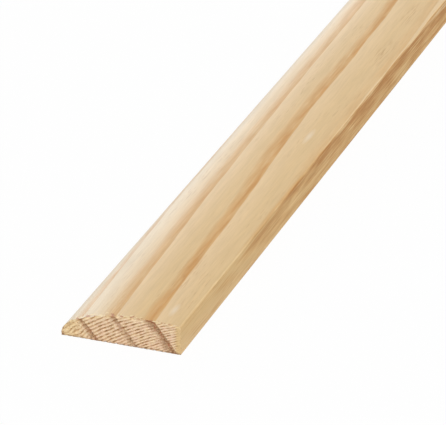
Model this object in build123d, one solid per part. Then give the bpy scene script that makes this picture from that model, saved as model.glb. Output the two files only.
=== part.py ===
from build123d import *
import os

# Driving dimensions of the moulding, in millimetres
stock_length = 2133.6      # a seven-foot piece
stock_width = 38.1         # across the flat back
stock_thickness = 9.5      # back to face at the thick edge
flat_width = 12.7          # level part of the face, measured from the thick edge
shoulder_height = 6.2      # back to face where the long sweep runs into the nose
nose_width = 5.2           # from the thin edge in to that shoulder
thin_edge_height = 2.0     # square part left standing at the thin edge
arris_radius = 0.8         # easing of the corner between the face and the thick edge

# Edges of the section, with the origin under its middle on the back
thick_edge_x = stock_width / 2
thin_edge_x = -stock_width / 2


def face_line():
    """The worked face from thick edge to thin edge: a flat, a sweep and a nose, each tangent to the last."""
    thick_corner = (thick_edge_x, stock_thickness)
    flat_end = (thick_edge_x - flat_width, stock_thickness)
    shoulder = (thin_edge_x + nose_width, shoulder_height)
    thin_corner = (thin_edge_x, thin_edge_height)
    flat = Line(thick_corner, flat_end)
    sweep = TangentArc(flat_end, shoulder, tangent=flat % 1)
    nose = TangentArc(shoulder, thin_corner, tangent=sweep % 1)
    return flat + sweep + nose


def moulding_section():
    """The section that the cutters leave: flat back, square edges, worked face and one eased corner."""
    back_and_edges = Polyline(
        (thin_edge_x, thin_edge_height),
        (thin_edge_x, 0),
        (thick_edge_x, 0),
        (thick_edge_x, stock_thickness),
    )
    section = make_face(face_line() + back_and_edges)
    thick_edge_corners = section.vertices().group_by(Axis.X)[-1]
    face_corner = thick_edge_corners.sort_by(Axis.Y)[-1]
    return fillet(face_corner, arris_radius)


def door_stop_moulding():
    """One run of moulding lying on its back along Y, cut square at both ends."""
    return extrude(Plane.XZ * moulding_section(), amount=stock_length / 2, both=True)


os.makedirs("parts", exist_ok=True)
export_step(door_stop_moulding(), "parts/door_stop_moulding.step")
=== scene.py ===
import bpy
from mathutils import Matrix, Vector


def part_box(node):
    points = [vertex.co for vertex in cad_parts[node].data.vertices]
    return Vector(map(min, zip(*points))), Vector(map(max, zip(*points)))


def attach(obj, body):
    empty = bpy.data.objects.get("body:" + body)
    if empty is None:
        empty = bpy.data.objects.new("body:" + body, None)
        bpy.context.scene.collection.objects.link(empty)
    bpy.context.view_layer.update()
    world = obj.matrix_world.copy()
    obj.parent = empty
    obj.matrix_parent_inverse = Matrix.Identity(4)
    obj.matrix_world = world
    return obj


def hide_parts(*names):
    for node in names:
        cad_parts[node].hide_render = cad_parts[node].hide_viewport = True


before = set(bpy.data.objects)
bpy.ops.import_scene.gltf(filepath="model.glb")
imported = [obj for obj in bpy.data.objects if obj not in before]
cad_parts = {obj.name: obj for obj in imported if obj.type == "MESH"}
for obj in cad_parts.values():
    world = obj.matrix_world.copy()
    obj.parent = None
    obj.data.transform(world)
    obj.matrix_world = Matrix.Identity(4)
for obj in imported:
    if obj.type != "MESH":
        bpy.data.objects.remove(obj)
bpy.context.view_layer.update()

import math

import bmesh
import bpy
from mathutils import Vector, noise

mm = 0.001
stockNode = "door_stop_moulding"
boxLow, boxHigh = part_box(stockNode)
stockLength = boxHigh.y - boxLow.y
stockThickness = boxHigh.z - boxLow.z
thickEdge, thinEdge = boxHigh.x, boxLow.x
stockWidth = thickEdge - thinEdge
nearEnd, farEnd = boxLow.y, boxHigh.y
print("frame: strip %.1f mm long, %.1f mm thick" % (stockLength / mm, stockThickness / mm))


def hexColour(code):
    # sRGB hex to the linear values that shaders take
    parts = [int(code[i:i + 2], 16) / 255 for i in (1, 3, 5)]
    return [p / 12.92 if p <= 0.04045 else ((p + 0.055) / 1.055) ** 2.4 for p in parts] + [1.0]


def addNode(tree, kind, inputs=None, **settings):
    # a node with its settings; an input is a plain value or the socket that feeds it
    node = tree.nodes.new("ShaderNode" + kind)
    for name, value in settings.items():
        setattr(node, name, value)
    for key, value in (inputs or {}).items():
        if isinstance(value, bpy.types.NodeSocket):
            tree.links.new(value, node.inputs[key])
        else:
            node.inputs[key].default_value = value
    return node


def newMaterial(name):
    material = bpy.data.materials.new(name)
    material.use_nodes = True
    material.node_tree.nodes.clear()
    return material, material.node_tree


# How the strip sat in the log: growth rings about a pith below and left of the section, millimetres
log = {
    "pith": (-120.4, -96.3),              # x and z of the pith in the section
    # each ring: radius of its hard outer edge, how deep its latewood is in colour on the face and on the
    # thick edge, how far in that colour begins, breadth and depth of its dark line across an end, own sway
    "rings": [(141.0, 0.31, 0.35, 2.0, (0.9, 0.7), (0.2, 170, 60)),
              (148.9, 0.55, 0.55, 2.8, (1.3, 0.8), (0.15, 160, 20)),
              (158.6, 0.68, 0.7, 4.0, (1.7, 0.58), (0.13, 150, 128)),
              (168.8, 0.88, 0.88, 3.4, (1.9, 0.97), (0.29, 146, 87)),
              (179.6, 0.2, 0.55, 3.4, (1.4, 0.22), (0.65, 210, 222)),
              (190.0, 0.8, 0.9, 4.0, (1.3, 0.88), (0.6, 180, 40))],
    "peak": (1.25, 0.93),                 # the colour rises towards the first, and stays at the second
    "sharpness": 0.14,                    # half of how far a hard edge is blurred
    "lineFade": (0.5, 1.5),               # a dark line fades inwards between these shares of its breadth
    "paleWood": 5.0,                      # spring growth outside a hard edge, palest beside it
    # slow run-out of the grain along the strip; like a sway, a swing, a wave length and the place of a crest
    "drift": [(6.5, 1600, 533), (0.6, 340, 126)],
    "driftLevel": 3.65,
    # uneven growth: size across the grain and along it, then how much
    "wander": [(14, 60, 0.9), (5, 26, 0.6), (0.7, 12, 0.25)],   # of a ring's place, down to single fibres
    "patches": [(2.5, 16, 0.4), (0.6, 11, 0.35)],               # of its depth of colour
    "evenness": 0.98,                     # the level that this depth swings about
    "softStretch": (9, 70),               # stretches in which the soft side of a ring is broad or narrow
    "softFall": (1.28, 0.76),             # how fast its colour falls away there, from narrow to broad
    "edgeSkin": (0.4, 0.1),               # colour of the thick edge starts this deep, and is full this deep
}
noiseSpan = (0.3, 0.7)   # nearly all values of a noise texture lie between these
noiseMiddle = 0.5


def waveHeight(swing, wave, crest, fromEnd):
    return swing * math.cos(2 * math.pi * (fromEnd - crest) / wave)


def latewood(x, y, z):
    # 0 in soft earlywood, rising to a ring's own depth of colour towards its hard outer edge
    fromEnd = (y - nearEnd) / mm
    radius = math.hypot(x / mm - log["pith"][0], z / mm - log["pith"][1]) + log["driftLevel"]
    radius += sum(waveHeight(*drift, fromEnd) for drift in log["drift"])
    steep, most = log["peak"]
    for edge, depth, edgeDepth, softSide, line, sway in log["rings"]:
        inside = edge + waveHeight(*sway, fromEnd) - radius
        if inside > 0:
            return depth * min(steep * max(1 - inside / softSide, 0), most)
    return 0


# The saw cut across the ends: the blade's teeth leave arcs that lean to the thick edge, millimetres
sawCut = {
    "pitch": 2.0,                         # from one tooth mark to the next, across the strip
    "lean": (36.5, 21.5),                 # degrees up from level, at the thin edge and at the thick edge
    "depth": 0.28,
    "narrowing": 1.7,                     # a mark is the narrower beside its ridges the more this is above 1
    "calm": (-17, -10),                   # marks are weak left of the first x, full right of the second
    "weakBite": 0.6,                      # share of the depth in the weak part
    "stray": (1.5, 0.15), "straySize": 3.0,        # how far marks wander there and in the full part, in marks
    "tremble": 0.13, "trembleSize": 0.6,           # finer wander all over, in marks
    "shallow": (0, 12), "shallowLoss": 0.2,        # shallower again between these places, by this share
    "cleanStrip": 1.6, "cleanLoss": 0.8,           # marks fade this near to the thick edge, by this share
    "usualBite": 0.85,                    # a mark comes and goes about this share of its depth
    "dashMarks": 0.9, "dashLength": 1.2,  # how quickly from mark to mark, and over how many mm
    "patchSwing": 0.25, "patchSize": 3.2,          # patches that were cut deeper or less deep
    "hardLoss": 0.55,                     # the blade bites less in hard latewood
    "pit": 0.35, "pitSize": 0.45, "pitLevel": 0.15,    # torn pits, where a noise is above the level
    "pitShare": (0.5, 1.2, 0.5),          # in plain wood, and added in hard latewood and in the weak part
    "rim": 1.0,                           # height of the torn strip along the worked face
    "ragged": (1.1, 0.35),                # how far fibres break back there, at the thin and the thick edge
    "chips": [(1.4, 1.0), (0.5, 0.6)],    # size of the chips and how much each size counts
    "chipLevel": 0.1, "chipFall": 1.5, "deepestChip": 0.9,
}


def ramp(value, low, high):
    return min(max((value - low) / (high - low), 0), 1)


def blendValue(first, last, share):
    return first + (last - first) * share


def acrossShare(x):
    # 0 at the thin edge, 1 at the thick edge
    return (x - thinEdge) / stockWidth


def toothMark(x, z):
    # marks counted across the cut
    lean = math.radians(blendValue(*sawCut["lean"], acrossShare(x)))
    return ((z - stockThickness / 2) / math.tan(lean) - x) / mm / sawCut["pitch"]


def sawnDepth(x, y, z):
    # how far the blade and torn fibres went in at this point of an end, millimetres
    place = Vector((x, y, z)) / mm
    hard = latewood(x, y, z)
    calm = ramp(x / mm, *sawCut["calm"])
    mark = toothMark(x, z) + blendValue(*sawCut["stray"], calm) * noise.noise(place / sawCut["straySize"])
    mark += sawCut["tremble"] * noise.noise(place / sawCut["trembleSize"])
    bite = blendValue(sawCut["weakBite"], 1, calm)
    bite *= 1 - sawCut["shallowLoss"] * ramp(x / mm, *sawCut["shallow"])
    bite *= 1 - sawCut["cleanLoss"] * ramp((thickEdge - x) / mm, sawCut["cleanStrip"], 0)
    bite *= 1 - sawCut["hardLoss"] * hard
    dash = Vector((mark * sawCut["dashMarks"], x / mm / sawCut["dashLength"], y))
    bite *= sawCut["usualBite"] + noise.noise(dash)
    bite *= 1 + sawCut["patchSwing"] * noise.noise(place / sawCut["patchSize"])
    groove = (0.5 - 0.5 * math.cos(2 * math.pi * mark)) ** sawCut["narrowing"]
    plain, inHard, inWeak = sawCut["pitShare"]
    torn = max(noise.noise(place / sawCut["pitSize"]) - sawCut["pitLevel"], 0)
    torn *= plain + inHard * hard + inWeak * (1 - calm)
    return sawCut["depth"] * bite * groove + sawCut["pit"] * torn


def rimShare(x, z):
    # 1 on the edge of the worked face, falling to 0 below the torn strip
    return max(1 - (faceHeight(x) - z) / mm / sawCut["rim"], 0)


def brokenBack(x, y, z):
    # fibres that came away with the blade along the worked face, millimetres
    place = Vector((x, y, z)) / mm
    chip = sawCut["chipLevel"] + sum(share * noise.noise(place / size) for size, share in sawCut["chips"])
    reach = blendValue(*sawCut["ragged"], acrossShare(x)) * rimShare(x, z) ** sawCut["chipFall"]
    return min(reach * max(chip, 0), sawCut["deepestChip"])


# The strip of moulding, with the section's own sizes
moulding = {
    "name": "pine_door_stop",
    "flatWidth": 12.7 * mm,               # level part of the face, beside the thick edge
    "shoulderHeight": 6.2 * mm,           # where the sweep runs into the nose
    "noseWidth": 5.2 * mm,
    "thinEdgeHeight": 2.0 * mm,
    "arris": 0.8 * mm,                    # eased corner of face and thick edge
    "columns": 216,
    "arrisColumns": 8,
    "rows": 76,
    "stations": 83,                       # cuts along the length
    "endStations": (1 * mm, 4 * mm),      # the first two, close behind a sawn end
    "grainRelief": 0.02 * mm,             # soft wood planed this much lower than hard
    "squareOn": 0.9,                      # a face looks along an axis when its normal is this far along it
    "crispAngle": 40,                     # corners sharper than this stay crisp, degrees
    # the map for baking: long faces laid in rows, ends enlarged below them, as shares of its square
    "mapRows": 3, "mapGap": 0.006, "mapEndHeight": 0.12, "mapFaceHeight": 0.21, "mapBackHeight": 0.065,
}


def arcFrom(start, heading, end):
    # centre and radius of the arc that leaves start along heading and reaches end
    chord = end - start
    side = Vector((-heading.y, heading.x))
    radius = chord.length_squared / (2 * chord.dot(side))
    return start + side * radius, abs(radius)


flatEnd = Vector((thickEdge - moulding["flatWidth"], stockThickness))
shoulder = Vector((thinEdge + moulding["noseWidth"], moulding["shoulderHeight"]))
thinCorner = Vector((thinEdge, moulding["thinEdgeHeight"]))
sweepCentre, sweepRadius = arcFrom(flatEnd, Vector((-1, 0)), shoulder)
sweepSpoke = (shoulder - sweepCentre).normalized()
noseCentre, noseRadius = arcFrom(shoulder, Vector((-sweepSpoke.y, sweepSpoke.x)), thinCorner)
arrisStart = thickEdge - moulding["arris"]


def faceHeight(x):
    # height of the worked face above the back
    arris = moulding["arris"]
    if x > arrisStart:
        return stockThickness - arris + math.sqrt(max(arris ** 2 - (x - arrisStart) ** 2, 0))
    if x >= flatEnd.x:
        return stockThickness
    centre, radius = (sweepCentre, sweepRadius) if x >= shoulder.x else (noseCentre, noseRadius)
    return centre.y + math.sqrt(radius ** 2 - (x - centre.x) ** 2)


def columnPlace(share):
    # even columns up to the eased corner, then even steps round it
    column = share * (moulding["columns"] + moulding["arrisColumns"])
    if column <= moulding["columns"]:
        return thinEdge + (arrisStart - thinEdge) * column / moulding["columns"]
    turn = (column - moulding["columns"]) / moulding["arrisColumns"] * math.pi / 2
    return arrisStart + moulding["arris"] * math.sin(turn)


def stationPlace(share):
    # even stations along the strip, but for the close ones at both ends
    close = moulding["endStations"]
    spans = moulding["stations"] + 1
    station = round(share * spans)
    fromEnd = min(station, spans - station)
    if fromEnd == 0:
        return nearEnd if station == 0 else farEnd
    if fromEnd <= len(close):
        return nearEnd + close[fromEnd - 1] if station == fromEnd else farEnd - close[fromEnd - 1]
    evenShare = (station - len(close)) / (spans - 2 * len(close))
    return nearEnd + close[-1] + (stockLength - 2 * close[-1]) * evenShare


def mapEnd(x, y, z):
    # the two ends side by side
    gap = moulding["mapGap"]
    left = gap if y < 0 else 0.5 + gap / 2
    return left + acrossShare(x) * (0.5 - 1.5 * gap), gap + moulding["mapEndHeight"] * z / stockThickness


def mapLong(x, y, z, row, onBack):
    # a row of the long faces: across the back, or from the thin edge over the face and down the thick edge
    gap, rows = moulding["mapGap"], moulding["mapRows"]
    face, back = moulding["mapFaceHeight"], moulding["mapBackHeight"]
    start, stop = stationPlace(row / rows), stationPlace((row + 1) / rows)
    along = gap + (y - start) / (stop - start) * (1 - 2 * gap)
    low = moulding["mapEndHeight"] + 2 * gap + row * (face + back + 2 * gap)
    if onBack:
        return along, low + acrossShare(x) * back
    run = x - thinEdge + math.copysign(stockThickness - z, x - flatEnd.x)
    around = (run + stockThickness) / (stockWidth + 2 * stockThickness)
    return along, low + back + gap + around * face


def buildMoulding():
    bm = bmesh.new()
    bmesh.ops.create_grid(bm, x_segments=moulding["columns"] + moulding["arrisColumns"],
                          y_segments=moulding["rows"], size=0.5)
    for v in bm.verts:   # the flat grid takes the section's outline
        x = columnPlace(v.co.x + 0.5)
        v.co = (x, nearEnd, (v.co.y + 0.5) * faceHeight(x))
    grown = bmesh.ops.extrude_face_region(bm, geom=bm.faces[:], use_keep_orig=True)
    farVerts = [g for g in grown["geom"] if isinstance(g, bmesh.types.BMVert)]
    bmesh.ops.translate(bm, verts=farVerts, vec=(0, stockLength, 0))
    longEdges = [e for e in bm.edges if abs(e.verts[0].co.y - e.verts[1].co.y) > stockLength / 2]
    bmesh.ops.subdivide_edges(bm, edges=longEdges, cuts=moulding["stations"], use_grid_fill=True)
    for v in bm.verts:
        v.co.y = stationPlace((v.co.y - nearEnd) / stockLength)
    bmesh.ops.recalc_face_normals(bm, faces=bm.faces[:])
    bm.normal_update()
    endFaces = {f for f in bm.faces if abs(f.normal.y) > moulding["squareOn"]}

    bakeMap = bm.loops.layers.uv.new("OFBake")
    for f in bm.faces:
        middle = f.calc_center_median()
        row = int((middle.y - nearEnd) / stockLength * moulding["mapRows"])
        for loop in f.loops:
            if f in endFaces:
                loop[bakeMap].uv = mapEnd(*loop.vert.co)
            else:
                loop[bakeMap].uv = mapLong(*loop.vert.co, row, f.normal.z < -moulding["squareOn"])

    groove = bm.verts.layers.float.new("groove")   # depth of the saw cut, read by the end grain for its groove colour, which is partly painted shade
    rim = bm.verts.layers.float.new("rim")         # nearness to the worked face
    endVerts = {v for f in endFaces for v in f.verts}   # listed now, because a new layer makes a list stale
    shifts = {}
    for v in bm.verts:
        x, y, z = v.co
        if v not in endVerts:   # planed faces: hard latewood stands a little proud
            shifts[v] = v.normal * -moulding["grainRelief"] * (1 - latewood(x, y, z))
            continue
        depth = sawnDepth(x, y, z)
        v[groove] = depth / sawCut["depth"]
        v[rim] = rimShare(x, z)
        depth += brokenBack(x, y, z)
        shifts[v] = Vector((0, math.copysign(depth * mm, -y), 0))
    for v, shift in shifts.items():
        v.co += shift
    bm.normal_update()

    mesh = bpy.data.meshes.new(moulding["name"])
    for f in bm.faces:
        f.material_index = 1 if f in endFaces else 0
        f.smooth = True
    crispAngle = math.radians(moulding["crispAngle"])
    for e in bm.edges:   # crisp corners of the section and of the cut
        if not all(f in endFaces for f in e.link_faces) and e.calc_face_angle() > crispAngle:
            e.smooth = False
    bm.to_mesh(mesh)
    bm.free()
    piece = bpy.data.objects.new(moulding["name"], mesh)
    bpy.context.scene.collection.objects.link(piece)
    print("moulding: %d faces" % len(mesh.polygons))
    return piece


def addWave(tree, level, fromEnd, swing, wave, crest):
    # the same wave as waveHeight, added to a level
    turn = addNode(tree, "Math", {0: fromEnd, 1: 2 * math.pi / wave, 2: -2 * math.pi * crest / wave},
                   operation="MULTIPLY_ADD").outputs[0]
    swell = addNode(tree, "Math", {0: turn}, operation="COSINE").outputs[0]
    return addNode(tree, "Math", {0: swell, 1: swing, 2: level}, operation="MULTIPLY_ADD").outputs[0]


def grainScale(across, along):
    # scale of a pattern from its size across the grain and along it, millimetres
    return 1 / across, 1 / along, 1 / across


def grainNoise(tree, place, scale, detail):
    # cloudy streaks, with a scale of their own each way
    grain = addNode(tree, "VectorMath", {0: place, 1: scale}, operation="MULTIPLY").outputs[0]
    return addNode(tree, "TexNoise", {"Vector": grain, "Scale": 1, "Detail": detail}).outputs["Fac"]


def ringNodes(tree):
    # growth rings as a solid pattern: places in mm from the pith and the near end, and shares of each growth
    pithX, pithZ = log["pith"]
    coords = addNode(tree, "TexCoord").outputs["Object"]
    stock = addNode(tree, "Mapping", {"Vector": coords, "Scale": (1 / mm, 1 / mm, 1 / mm),
                                      "Location": (-pithX, -nearEnd / mm, -pithZ)}).outputs["Vector"]
    spot = addNode(tree, "SeparateXYZ", {0: stock}).outputs
    fromEnd = spot["Y"]
    starts, full = [thickEdge / mm - pithX - depth for depth in log["edgeSkin"]]
    onEdge = addNode(tree, "MapRange", {"Value": spot["X"], 1: starts, 2: full}).outputs[0]
    spoke = addNode(tree, "VectorMath", {0: stock, 1: (1, 0, 1)}, operation="MULTIPLY").outputs[0]
    radius = addNode(tree, "VectorMath", {0: spoke}, operation="LENGTH").outputs["Value"]
    radius = addNode(tree, "Math", {0: radius, 1: log["driftLevel"]}, operation="ADD").outputs[0]
    for drift in log["drift"]:
        radius = addWave(tree, radius, fromEnd, *drift)
    for across, along, reach in log["wander"]:
        waver = grainNoise(tree, stock, grainScale(across, along), detail=2)
        waver = addNode(tree, "Math", {0: waver, 1: noiseMiddle}, operation="SUBTRACT").outputs[0]
        radius = addNode(tree, "Math", {0: waver, 1: reach, 2: radius}, operation="MULTIPLY_ADD").outputs[0]
    low, high = noiseSpan
    narrow, broad = log["softFall"]
    fall = grainNoise(tree, stock, grainScale(*log["softStretch"]), detail=1)
    fall = addNode(tree, "MapRange", {"Value": fall, 1: low, 2: high, 3: narrow, 4: broad}).outputs[0]
    evenness = log["evenness"]
    for across, along, swing in log["patches"]:
        patch = grainNoise(tree, stock, grainScale(across, along), detail=2)
        patch = addNode(tree, "MapRange", {"Value": patch, 1: low, 2: high, 3: -swing, 4: swing}).outputs[0]
        evenness = addNode(tree, "Math", {0: evenness, 1: patch}, operation="ADD").outputs[0]

    late, spring, lines = 0.0, 0.0, 0.0
    steep, most = log["peak"]
    blur = log["sharpness"]
    for edge, depth, edgeDepth, softSide, (line, lineDepth), sway in log["rings"]:
        outer = addWave(tree, edge, fromEnd, *sway)
        inside = addNode(tree, "Math", {0: outer, 1: radius}, operation="SUBTRACT").outputs[0]
        within = addNode(tree, "MapRange", {"Value": inside, 1: -blur, 2: blur}).outputs[0]
        reach = addNode(tree, "Math", {0: inside, 1: fall}, operation="MULTIPLY").outputs[0]
        shownDepth = addNode(tree, "MapRange", {"Value": onEdge, 3: depth, 4: edgeDepth}).outputs[0]
        colour = addNode(tree, "MapRange", {"Value": reach, 1: 0, 2: softSide, 3: steep, 4: 0}).outputs[0]
        colour = addNode(tree, "Math", {0: colour, 1: most}, operation="MINIMUM").outputs[0]
        colour = addNode(tree, "Math", {0: colour, 1: shownDepth}, operation="MULTIPLY").outputs[0]
        late = addNode(tree, "Math", {0: colour, 1: within, 2: late}, operation="MULTIPLY_ADD").outputs[0]
        full, gone = [share * line for share in log["lineFade"]]
        dark = addNode(tree, "MapRange", {"Value": reach, 1: full, 2: gone, 3: lineDepth, 4: 0}).outputs[0]
        lines = addNode(tree, "Math", {0: dark, 1: within, 2: lines}, operation="MULTIPLY_ADD").outputs[0]
        pale = addNode(tree, "MapRange", {"Value": inside, 1: -log["paleWood"], 2: 0}).outputs[0]
        pale = addNode(tree, "Math", {0: pale, 1: within}, operation="SUBTRACT", use_clamp=True).outputs[0]
        spring = addNode(tree, "Math", {0: spring, 1: pale}, operation="ADD").outputs[0]
    late = addNode(tree, "Math", {0: late, 1: evenness}, operation="MULTIPLY").outputs[0]
    growth = addNode(tree, "CombineXYZ", {0: radius, 1: fromEnd}).outputs[0]
    return {"stock": stock, "spot": spot, "radius": radius, "growth": growth, "onEdge": onEdge,
            "late": late, "spring": spring, "lines": lines}


# The planed faces, sizes in millimetres: across the grain, along it, and how much the tone swings
planed = {
    # the pale inner colour is partly the wood's own and partly painted sheen on the sloped face
    "colours": {"earlywood": "#dab983", "spring": "#e2c394", "paleInnerAndSheen": "#dfcaa8", "wash": "#d7a458",
                # the arris colour is a painted highlight along the eased corner
                "latewood": "#c68d3d", "edgeLatewood": "#b57f43", "arris": "#f2d5a4", "resin": "#a8743c",
                "scuff": "#ecdcc4", "tear": "#bb8f58", "fuzz": "#ead09c", "fuzzDark": "#b0703e"},
    "roughness": (0.34, 0.8),             # of the planed face, and of the thick edge, which is sawn
    "roughSwing": -0.08,                  # raised fibres are burnished
    "relief": 0.02,
    "ior": 1.5,
    "innerRings": (157, 150.5),           # paler towards the pith, from one radius to the other: partly the wood's own colour, partly painted sheen on the sloped face
    "washDepth": 0.35, "washShare": 0.26,          # golden on the soft side of a ring, up to this depth
    "fibres": [(0.5, 9, 0.2), (1.6, 22, 0.16), (9, 60, 0.1)],
    "growthLines": (0.55, 120, 0.08),     # across the rings instead
    "edgeTone": 1.07,                     # the thick edge against the face
    "edgeStain": (0.18, 420),             # that edge darkens and pales again along the strip: swing and wave
    "edgeStreaks": [(0.4, 25, 0.5), (2.2, 18, 0.26)],  # on that edge, in depth of colour
    "streakSpan": (0.25, 0.75),           # noise values from the palest streak to the darkest
    "streakStrength": (0.75, 1.7),        # from the palest part of that edge to the darkest
    "arrisSpan": (0.76, 0.6),             # painted highlight along the eased corner, as shares of its easing in from a square corner
    # that painted highlight comes and goes over this length, between two noise values, from one share to the
    # other
    "arrisBreaks": 8, "breakLevels": (0.3, 0.6), "breakShare": (0.35, 0.9),
    # resin canals: patches of them, then single ones; with the noise values where they start and are full
    "resin": [(7, 70, 0.5, 0.68), (0.4, 6, 0.6, 0.72)], "resinShare": 0.35,
    # marks at their places: x, distance from the near end and z, then how far they reach each way
    "scuffs": [((13.6, 9.5, 9.5), (1.3, 4.8, 3)), ((11.1, 141, 9.5), (1.3, 7, 3))], "scuffShare": 0.5,
    "tornGrain": [((12.8, 216, 9.5), (3.6, 15, 3)), ((11.5, 253, 9.5), (3, 13, 3))],
    "tear": (0.55, 8), "tearLevels": (0.48, 0.7), "tearShare": 0.8, "tearDepth": -0.8,
    # the same for places where the latewood is deeper in colour, or paler, and how much
    "toneSpots": [((19, 71, 6.9), (2, 26, 1.7), 0.65), ((19, 84, 9.3), (1.6, 40, 1.2), 0.36),
                  ((8.5, 38, 9.5), (1.7, 11, 3), 0.35), ((4.8, 130, 9.4), (2.4, 15, 3), -0.22),
                  ((3.1, 200, 9.3), (2.4, 20, 3), -0.25), ((-6, 61, 8.3), (1.8, 9, 3), 0.2),
                  ((-9.5, 190, 7.5), (3, 30, 3), -0.12), ((19, 78, 4.4), (2, 24, 2.2), 0.22),
                  ((-8.2, 143, 7.9), (2.2, 15, 3), -0.24), ((-16.8, 95, 4.5), (2.5, 45, 3), -0.18)],
    "spotCore": 0.2,                      # such a mark is full out to this share of its reach
    # fibres torn up along the rim of an end, most from here to the thin edge, least at the thick edge
    "fuzz": 1.3, "fuzzLevels": (0.4, 0.65), "fuzzReach": 3.6, "fuzzBlur": 0.5,
    "fuzzFrom": -4, "fuzzLeast": 0.15,
    "fuzzPatch": 1.625, "darkLevels": (0.5, 0.62), "darkLatewood": 0.2,   # dark ones, more in latewood
}


def spotShare(tree, stock, place, reach):
    # 1 in the middle of a mark, falling to 0 where its reach ends
    middle = (place[0] - log["pith"][0], place[1], place[2] - log["pith"][1])
    offset = addNode(tree, "VectorMath", {0: stock, 1: middle}, operation="SUBTRACT").outputs[0]
    offset = addNode(tree, "VectorMath", {0: offset, 1: reach}, operation="DIVIDE").outputs[0]
    away = addNode(tree, "VectorMath", {0: offset}, operation="LENGTH").outputs["Value"]
    return addNode(tree, "MapRange", {"Value": away, 1: planed["spotCore"], 2: 1, 3: 1, 4: 0}).outputs[0]


def latewoodDepth(tree, rings):
    # the rings' latewood, with places of deeper or paler colour and the thick edge's stain and streaks
    stock, onEdge, late = rings["stock"], rings["onEdge"], rings["late"]
    swing, wave = planed["edgeStain"]
    stain = addWave(tree, swing, rings["spot"]["Y"], -swing, wave, 0)
    late = addNode(tree, "Math", {0: stain, 1: onEdge, 2: late}, operation="MULTIPLY_ADD").outputs[0]
    for place, reach, depth in planed["toneSpots"]:
        share = spotShare(tree, stock, place, reach)
        late = addNode(tree, "Math", {0: share, 1: depth, 2: late}, operation="MULTIPLY_ADD").outputs[0]
    weak, strong = planed["streakStrength"]
    strength = addNode(tree, "MapRange", {"Value": stain, 2: 2 * swing, 3: weak, 4: strong}).outputs[0]
    low, high = planed["streakSpan"]
    for across, along, swing in planed["edgeStreaks"]:
        streak = grainNoise(tree, stock, (0, 1 / along, 1 / across), detail=3)
        streak = addNode(tree, "MapRange", {"Value": streak, 1: low, 2: high, 3: -swing, 4: swing}).outputs[0]
        streak = addNode(tree, "Math", {0: streak, 1: strength}, operation="MULTIPLY").outputs[0]
        late = addNode(tree, "Math", {0: streak, 1: onEdge, 2: late}, operation="MULTIPLY_ADD").outputs[0]
    return addNode(tree, "Math", {0: late, 1: 0}, operation="ADD", use_clamp=True).outputs[0]


def paintedArrisHighlight(tree, rings):
    # painted highlight along the eased corner of face and thick edge, in broken stretches
    spot = rings["spot"]
    corner = addNode(tree, "Math", {0: spot["X"], 1: spot["Z"]}, operation="ADD").outputs[0]
    squareCorner = (thickEdge + stockThickness) / mm - sum(log["pith"])
    starts, full = [squareCorner - share * moulding["arris"] / mm for share in planed["arrisSpan"]]
    crest = addNode(tree, "MapRange", {"Value": corner, 1: starts, 2: full}).outputs[0]
    low, high = planed["breakLevels"]
    least, most = planed["breakShare"]
    breaks = grainNoise(tree, rings["stock"], (0, 1 / planed["arrisBreaks"], 0), detail=3)
    breaks = addNode(tree, "MapRange", {"Value": breaks, 1: low, 2: high, 3: least, 4: most}).outputs[0]
    return addNode(tree, "Math", {0: crest, 1: breaks}, operation="MULTIPLY").outputs[0]


def fibreTone(tree, rings):
    # lighter and darker fibres, and how far they stand up
    tone = addNode(tree, "MapRange", {"Value": rings["onEdge"], 3: 1, 4: planed["edgeTone"]}).outputs[0]
    relief = 0.0
    layers = [(rings["growth"], planed["growthLines"])]
    layers += [(rings["stock"], fibres) for fibres in planed["fibres"]]
    for place, (across, along, swing) in layers:
        fibre = grainNoise(tree, place, grainScale(across, along), detail=3)
        shade = addNode(tree, "Math", {0: fibre, 1: noiseMiddle}, operation="SUBTRACT").outputs[0]
        tone = addNode(tree, "Math", {0: shade, 1: swing, 2: tone}, operation="MULTIPLY_ADD").outputs[0]
        relief = addNode(tree, "Math", {0: relief, 1: shade}, operation="ADD").outputs[0]
    return tone, relief


def resinCanals(tree, stock):
    # short dark streaks, in patches
    canals = planed["resinShare"]
    for across, along, low, high in planed["resin"]:
        spread = grainNoise(tree, stock, grainScale(across, along), detail=1)
        spread = addNode(tree, "MapRange", {"Value": spread, 1: low, 2: high}).outputs[0]
        canals = addNode(tree, "Math", {0: canals, 1: spread}, operation="MULTIPLY").outputs[0]
    return canals


def tornRim(tree, rings, late, pale, dark):
    # share and colour of the fibres torn up along the rim of an end
    stock, spot = rings["stock"], rings["spot"]
    pithX = log["pith"][0]
    fromEnd = addNode(tree, "Math", {0: spot["Y"], 1: stockLength / mm / 2}, operation="PINGPONG").outputs[0]
    fuzz = addNode(tree, "TexNoise", {"Vector": stock, "Scale": 1 / planed["fuzz"],
                                      "Detail": 2}).outputs["Fac"]
    low, high = planed["fuzzLevels"]
    reach = addNode(tree, "MapRange", {"Value": fuzz, 1: low, 2: high, 4: planed["fuzzReach"]}).outputs[0]
    most = addNode(tree, "MapRange", {"Value": spot["X"], 1: thickEdge / mm - pithX,
                                      2: planed["fuzzFrom"] - pithX, 3: planed["fuzzLeast"]}).outputs[0]
    reach = addNode(tree, "Math", {0: reach, 1: most}, operation="MULTIPLY").outputs[0]
    torn = addNode(tree, "Math", {0: reach, 1: fromEnd}, operation="SUBTRACT").outputs[0]
    torn = addNode(tree, "MapRange", {"Value": torn, 2: planed["fuzzBlur"]}).outputs[0]
    patch = addNode(tree, "TexNoise", {"Vector": stock, "Scale": 1 / planed["fuzzPatch"],
                                       "Detail": 1}).outputs["Fac"]
    patch = addNode(tree, "Math", {0: late, 1: planed["darkLatewood"], 2: patch},
                    operation="MULTIPLY_ADD").outputs[0]
    low, high = planed["darkLevels"]
    patch = addNode(tree, "MapRange", {"Value": patch, 1: low, 2: high}).outputs[0]
    return torn, addNode(tree, "Mix", {0: patch, 6: pale, 7: dark}, data_type="RGBA").outputs[2]


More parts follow.
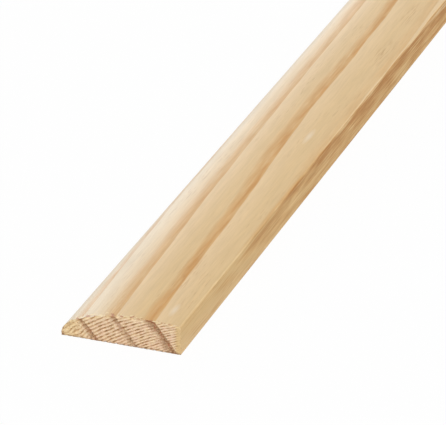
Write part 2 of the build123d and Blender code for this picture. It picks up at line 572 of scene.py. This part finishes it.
def planedPine():
    # Pine from the moulder's knives: pale creamy earlywood, soft orange-tan latewood with a hard outer edge,
    # fine lengthwise fibres and resin streaks, a low sheen that turns milky at a glance; the thick edge,
    # which is sawn, is duller
    material, tree = newMaterial("planed_pine")
    colour = {name: hexColour(code) for name, code in planed["colours"].items()}
    rings = ringNodes(tree)
    stock, onEdge = rings["stock"], rings["onEdge"]
    late = latewoodDepth(tree, rings)
    first, last = planed["innerRings"]
    paleInnerAndSheen = addNode(tree, "MapRange", {"Value": rings["radius"], 1: first, 2: last}).outputs[0]
    wash = addNode(tree, "MapRange", {"Value": late, 2: planed["washDepth"],
                                      4: planed["washShare"]}).outputs[0]
    deep = addNode(tree, "Mix", {0: onEdge, 6: colour["latewood"], 7: colour["edgeLatewood"]},
                   data_type="RGBA").outputs[2]
    base = colour["earlywood"]
    # paler wood towards the pith, partly painted sheen on the sloped face, is mixed in here
    for share, tint in ((rings["spring"], colour["spring"]), (paleInnerAndSheen, colour["paleInnerAndSheen"]),
                        # a painted highlight along the eased corner is mixed into the wood's colours here
                        (paintedArrisHighlight(tree, rings), colour["arris"]), (wash, colour["wash"]), (late, deep)):
        base = addNode(tree, "Mix", {0: share, 6: base, 7: tint}, data_type="RGBA").outputs[2]
    tone, relief = fibreTone(tree, rings)
    base = addNode(tree, "HueSaturation", {"Color": base, "Value": tone}).outputs[0]

    marks = [(resinCanals(tree, stock), colour["resin"])]
    for place, reach in planed["scuffs"]:
        scuff = spotShare(tree, stock, place, reach)
        scuff = addNode(tree, "Math", {0: scuff, 1: planed["scuffShare"]}, operation="MULTIPLY").outputs[0]
        marks.append((scuff, colour["scuff"]))
    low, high = planed["tearLevels"]
    tear = grainNoise(tree, stock, grainScale(*planed["tear"]), detail=1)
    tear = addNode(tree, "MapRange", {"Value": tear, 1: low, 2: high, 4: planed["tearShare"]}).outputs[0]
    for place, reach in planed["tornGrain"]:
        torn = spotShare(tree, stock, place, reach)
        torn = addNode(tree, "Math", {0: torn, 1: tear}, operation="MULTIPLY").outputs[0]
        marks.append((torn, colour["tear"]))
        relief = addNode(tree, "Math", {0: torn, 1: planed["tearDepth"], 2: relief},
                         operation="MULTIPLY_ADD").outputs[0]
    marks.append(tornRim(tree, rings, late, colour["fuzz"], colour["fuzzDark"]))
    for share, tint in marks:
        base = addNode(tree, "Mix", {0: share, 6: base, 7: tint}, data_type="RGBA").outputs[2]

    onFace, onSawnEdge = planed["roughness"]
    rough = addNode(tree, "MapRange", {"Value": onEdge, 3: onFace, 4: onSawnEdge}).outputs[0]
    rough = addNode(tree, "Math", {0: relief, 1: planed["roughSwing"], 2: rough},
                    operation="MULTIPLY_ADD", use_clamp=True).outputs[0]
    bump = addNode(tree, "Bump", {"Height": relief, "Strength": 1.0,
                                  "Distance": planed["relief"] * mm}).outputs[0]
    shader = addNode(tree, "BsdfPrincipled", {"Base Color": base, "Roughness": rough, "IOR": planed["ior"],
                                              "Normal": bump})
    addNode(tree, "OutputMaterial", {"Surface": shader.outputs[0]})
    return material


# The sawn ends, sizes in millimetres
sawn = {
    # the groove colour is partly torn fibres and partly painted shade in the saw grooves
    "colours": {"ridge": "#eed2ab", "ridgeTint": "#ebc8a9", "thinSide": "#ecd09c", "groove": "#b0885c",
                # the glint colour is a painted highlight on the ridge tops
                "paintedGlint": "#fff0d2", "edgeStrip": "#d9b983", "rimFuzz": "#ecd2a0", "latewood": "#9c6f43",
                # the bottom line's colour is partly torn fibres and partly painted contact shade
                "fleck": "#6e4426", "redFleck": "#a2573a", "bottomFibresAndShade": "#765840", "rimLine": "#935c38"},
    "roughness": 0.8,
    "ior": 1.5,
    # each pattern: its size, detail of its noise, the values it grows between, and its share at those values
    "patterns": {"tint": (1.8, 2, (0.4, 0.6), (0, 1)), "paintedGlint": (0.3, 1, (0.52, 0.66), (0, 0.65)),
                 "latewood": (0.8, 2, (0.35, 0.6), (0.6, 0.95)), "dots": (0.45, 1, (0.5, 0.6), (0, 0.8)),
                 "red": (2.0, 1, (0.5, 0.6), (0, 1)), "breaks": (0.8, 2, (0.4, 0.55), (0.1, 0.9))},
    "crown": (0.05, 0.35),                # painted glints on the ridges, where the cut is no deeper than this
    "thinFrom": (-10, -15), "thinShare": 0.85,     # yellower between these places, towards the thin edge
    "edgeStripWidth": (2.0, 1.2), "edgeStripShare": 0.9,   # smooth strip beside the thick edge
    "bottomHeight": 0.7,
    "speckles": [(0.35, 0.3), (1.3, 0.3)],         # size, and how much the tone swings
}


def sawnEndGrain():
    # Pine across the grain, straight off the saw: dull and pinkish, with light torn ridges and brown
    # speckled ring lines; painted shade darkens the saw grooves, and painted glints sit on the ridge tops
    material, tree = newMaterial("sawn_pine_end")
    colour = {name: hexColour(code) for name, code in sawn["colours"].items()}
    rings = ringNodes(tree)
    stock, spot, lines = rings["stock"], rings["spot"], rings["lines"]
    groove = addNode(tree, "Attribute", attribute_name="groove").outputs["Fac"]
    rim = addNode(tree, "Attribute", attribute_name="rim").outputs["Fac"]
    pattern = {}
    for name, (size, detail, (low, high), (least, most)) in sawn["patterns"].items():
        cloud = addNode(tree, "TexNoise", {"Vector": stock, "Scale": 1 / size,
                                           "Detail": detail}).outputs["Fac"]
        pattern[name] = addNode(tree, "MapRange", {"Value": cloud, 1: low, 2: high,
                                                   3: least, 4: most}).outputs[0]

    pithX, pithZ = log["pith"]
    starts, full = [x - pithX for x in sawn["thinFrom"]]
    thin = addNode(tree, "MapRange", {"Value": spot["X"], 1: starts, 2: full,
                                      4: sawn["thinShare"]}).outputs[0]
    starts, full = [thickEdge / mm - pithX - width for width in sawn["edgeStripWidth"]]
    smooth = addNode(tree, "MapRange", {"Value": spot["X"], 1: starts, 2: full,
                                        4: sawn["edgeStripShare"]}).outputs[0]
    # darker along the bottom of each end: partly torn fibres, partly painted contact shade
    bottom = addNode(tree, "MapRange", {"Value": spot["Z"], 1: -pithZ, 2: sawn["bottomHeight"] - pithZ,
                                        3: 1, 4: 0}).outputs[0]
    low, high = sawn["crown"]
    crown = addNode(tree, "MapRange", {"Value": groove, 1: low, 2: high, 3: 1, 4: 0}).outputs[0]
    shown = {}   # patterns and where they show
    # painted glints show on the ridge tops, where the saw cut is shallow
    for name, first, second in (("paintedGlint", pattern["paintedGlint"], crown), ("rimFuzz", rim, pattern["tint"]),
                                ("latewood", pattern["latewood"], lines), ("dots", pattern["dots"], lines),
                                ("bottomFibresAndShade", bottom, pattern["breaks"]), ("rimLine", lines, rim)):
        shown[name] = addNode(tree, "Math", {0: first, 1: second}, operation="MULTIPLY").outputs[0]
    dotColour = addNode(tree, "Mix", {0: pattern["red"], 6: colour["fleck"], 7: colour["redFleck"]},
                        data_type="RGBA").outputs[2]

    base = colour["ridge"]
    for share, tint in ((pattern["tint"], colour["ridgeTint"]), (thin, colour["thinSide"]),
                        # the saw grooves darken here, partly by painted shade
                        (groove, colour["groove"]), (shown["paintedGlint"], colour["paintedGlint"]),
                        (smooth, colour["edgeStrip"]), (shown["rimFuzz"], colour["rimFuzz"]),
                        (shown["latewood"], colour["latewood"]), (shown["dots"], dotColour),
                        (shown["bottomFibresAndShade"], colour["bottomFibresAndShade"]), (shown["rimLine"], colour["rimLine"])):
        base = addNode(tree, "Mix", {0: share, 6: base, 7: tint}, data_type="RGBA").outputs[2]
    tone = 1.0
    for size, swing in sawn["speckles"]:
        speckle = addNode(tree, "TexNoise", {"Vector": stock, "Scale": 1 / size, "Detail": 1}).outputs["Fac"]
        speckle = addNode(tree, "Math", {0: speckle, 1: noiseMiddle}, operation="SUBTRACT").outputs[0]
        tone = addNode(tree, "Math", {0: speckle, 1: swing, 2: tone}, operation="MULTIPLY_ADD").outputs[0]
    base = addNode(tree, "HueSaturation", {"Color": base, "Value": tone}).outputs[0]
    shader = addNode(tree, "BsdfPrincipled", {"Base Color": base, "Roughness": sawn["roughness"],
                                              "IOR": sawn["ior"]})
    addNode(tree, "OutputMaterial", {"Surface": shader.outputs[0]})
    return material


strip = buildMoulding()
strip.data.materials.append(planedPine())
strip.data.materials.append(sawnEndGrain())
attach(strip, "root")
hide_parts(stockNode)
print("pine: planed faces and sawn ends")


# Studio: white floor and sky, a broad lamp from the front and a low one behind that grazes the nose
studio = {
    "floorSize": 30,                      # metres
    "paper": "#fafafa", "white": "#ffffff",
    "floorLift": 0.93,                    # share of plain white in what the camera sees of the floor
    "whiteStrength": 1.0,                 # of that white, and of the sky where it is seen
    "fill": 0.52,                         # light from all round
    # each lamp: strength, how broad it is in degrees, and where it stands
    "lamps": {"front": (1.53, 40, (0.18, -0.5, 0.85)), "back": (0.28, 30, (-0.62, 0.78, 0.06))},
}


def seenDirectly(tree):
    # 1 where the camera, a reflection or a clear surface looks straight at it
    path = addNode(tree, "LightPath").outputs
    seen = path["Is Camera Ray"]
    for ray in ("Is Glossy Ray", "Is Transmission Ray"):
        seen = addNode(tree, "Math", {0: seen, 1: path[ray]}, operation="MAXIMUM").outputs[0]
    return seen


def whiteFloor():
    # Matt white studio paper that keeps a faint shadow
    material, tree = newMaterial("white_paper")
    lift = addNode(tree, "Math", {0: seenDirectly(tree), 1: studio["floorLift"]},
                   operation="MULTIPLY").outputs[0]
    paper = addNode(tree, "BsdfDiffuse", {"Color": hexColour(studio["paper"])}).outputs[0]
    glow = addNode(tree, "Emission", {"Color": hexColour(studio["white"]),
                                      "Strength": studio["whiteStrength"]}).outputs[0]
    mixed = addNode(tree, "MixShader", {0: lift, 1: paper, 2: glow}).outputs[0]
    addNode(tree, "OutputMaterial", {"Surface": mixed})
    material.cycles.emission_sampling = "NONE"
    return material


def buildStudio():
    bm = bmesh.new()
    bmesh.ops.create_grid(bm, x_segments=1, y_segments=1, size=studio["floorSize"] / 2)
    mesh = bpy.data.meshes.new("floor")
    bm.to_mesh(mesh)
    bm.free()
    mesh.materials.append(whiteFloor())
    floor = bpy.data.objects.new("floor", mesh)
    bpy.context.scene.collection.objects.link(floor)

    world = bpy.data.worlds.new("studio")
    bpy.context.scene.world = world
    world.use_nodes = True
    tree = world.node_tree
    tree.nodes.clear()
    strength = addNode(tree, "MapRange", {"Value": seenDirectly(tree), 3: studio["fill"],
                                          4: studio["whiteStrength"]}).outputs[0]
    sky = addNode(tree, "Background", {"Color": hexColour(studio["white"]), "Strength": strength}).outputs[0]
    addNode(tree, "OutputWorld", {"Surface": sky})

    for name, (strength, breadth, place) in studio["lamps"].items():
        data = bpy.data.lights.new(name, "SUN")
        data.energy = strength
        data.angle = math.radians(breadth)
        lamp = bpy.data.objects.new(name, data)
        lamp.rotation_euler = Vector(place).to_track_quat("Z", "Y").to_euler()
        bpy.context.scene.collection.objects.link(lamp)
    print("studio: floor, sky and %d lamps" % len(studio["lamps"]))


# The photograph's camera: placed by where it sees the near bottom corner of the thick edge
photo = {
    "width": 446, "height": 425,          # pixels
    "corner": (180.76, 355.18),           # that corner's place in the frame, pixels
    "cornerDistance": 1.0298,             # along the lens axis, metres
    "elevation": 25.71,                   # degrees down
    "turn": 20.03,                        # degrees left of straight along the strip
    "lens": 281.3, "sensor": 36,          # millimetres
    "clip": (0.05, 100),                  # nearest and farthest that it sees, metres
}


def placeCamera():
    data = bpy.data.cameras.new("photo_camera")
    data.lens, data.sensor_width, data.sensor_fit = photo["lens"], photo["sensor"], "HORIZONTAL"
    data.clip_start, data.clip_end = photo["clip"]
    camera = bpy.data.objects.new("photo_camera", data)
    camera.rotation_euler = (math.radians(90 - photo["elevation"]), 0, math.radians(photo["turn"]))
    perPixel = photo["sensor"] / photo["lens"] / photo["width"] * photo["cornerDistance"]
    toCorner = Vector(((photo["corner"][0] - photo["width"] / 2) * perPixel,
                       (photo["height"] / 2 - photo["corner"][1]) * perPixel, -photo["cornerDistance"]))
    toCorner.rotate(camera.rotation_euler)
    camera.location = Vector((thickEdge, nearEnd, boxLow.z)) - toCorner
    bpy.context.scene.collection.objects.link(camera)
    bpy.context.scene.camera = camera
    print("camera: lens %.0f mm at %.2f m" % (photo["lens"], photo["cornerDistance"]))


buildStudio()
placeCamera()
bpy.context.scene.view_settings.view_transform = "Standard"
